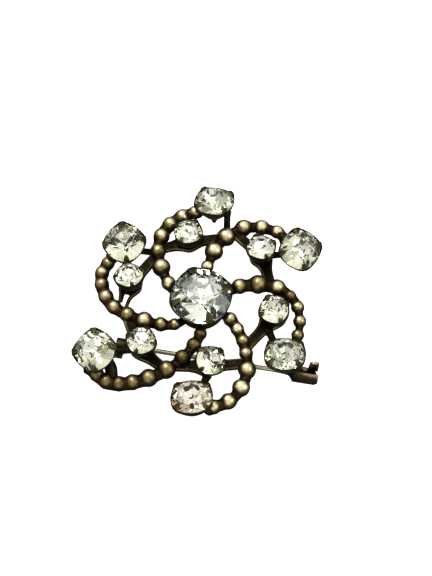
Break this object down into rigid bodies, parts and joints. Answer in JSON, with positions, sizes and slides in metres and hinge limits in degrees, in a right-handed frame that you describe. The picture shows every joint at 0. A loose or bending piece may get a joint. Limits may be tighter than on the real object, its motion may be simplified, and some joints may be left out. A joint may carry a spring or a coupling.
{
  "type": "brooch",
  "caption": "Swirl brooch of beaded antique-brass arms with claw-set clear stones, and a hinged pin stem with a C catch behind.",
  "frame": {"origin": "centre of the hub's flat back face, on the centre stone's axis", "axes": "+Z out of the front through the centre stone, +X to the hinge side, +Y to the top as worn"},
  "size_m": [0.0381, 0.0393, 0.0092],
  "materials": {
    "antique_brass": "aged, dark in the hollows, rubbed bright on the beads",
    "collet_brass": "dark aged sheet brass with rubbed edges",
    "pin_metal": "aged plated wire",
    "clear_stone": "faceted clear paste with a foiled back"
  },
  "bodies": {
    "frame": {"beaded_arm_1": "antique_brass", "beaded_arm_2": "antique_brass", "beaded_arm_3": "antique_brass", "beaded_arm_4": "antique_brass", "beaded_arm_5": "antique_brass", "beaded_arm_6": "antique_brass", "catch": "collet_brass", "centre_collet": "collet_brass", "centre_stone": "clear_stone", "hinge_bracket": "collet_brass", "hinge_rivet": "pin_metal", "hub": "collet_brass", "inner_collet_1": "collet_brass", "inner_collet_2": "collet_brass", "inner_collet_3": "collet_brass", "inner_collet_4": "collet_brass", "inner_collet_5": "collet_brass", "inner_collet_6": "collet_brass", "inner_stone_1": "clear_stone", "inner_stone_2": "clear_stone", "inner_stone_3": "clear_stone", "inner_stone_4": "clear_stone", "inner_stone_5": "clear_stone", "inner_stone_6": "clear_stone", "outer_collet_1": "collet_brass", "outer_collet_2": "collet_brass", "outer_collet_3": "collet_brass", "outer_collet_4": "collet_brass", "outer_collet_5": "collet_brass", "outer_collet_6": "collet_brass", "outer_stone_1": "clear_stone", "outer_stone_2": "clear_stone", "outer_stone_3": "clear_stone", "outer_stone_4": "clear_stone", "outer_stone_5": "clear_stone", "outer_stone_6": "clear_stone", "stay_1": "collet_brass", "stay_2": "collet_brass", "stay_3": "collet_brass", "stay_4": "collet_brass", "stay_5": "collet_brass", "stay_6": "collet_brass", "strap_1": "antique_brass", "strap_2": "antique_brass", "strap_3": "antique_brass", "strap_4": "antique_brass", "strap_5": "antique_brass", "strap_6": "antique_brass"},
    "pin": {"pin_stem": "pin_metal"}
  },
  "joints": [
    {"name": "pin_swing", "type": "hinge", "parent": "frame", "child": "pin", "pos_m": [0.0157, -0.01045, -0.0015], "axis": [-0.1193, -0.697, -0.7071], "range_deg": [0, 75]}
  ]
}
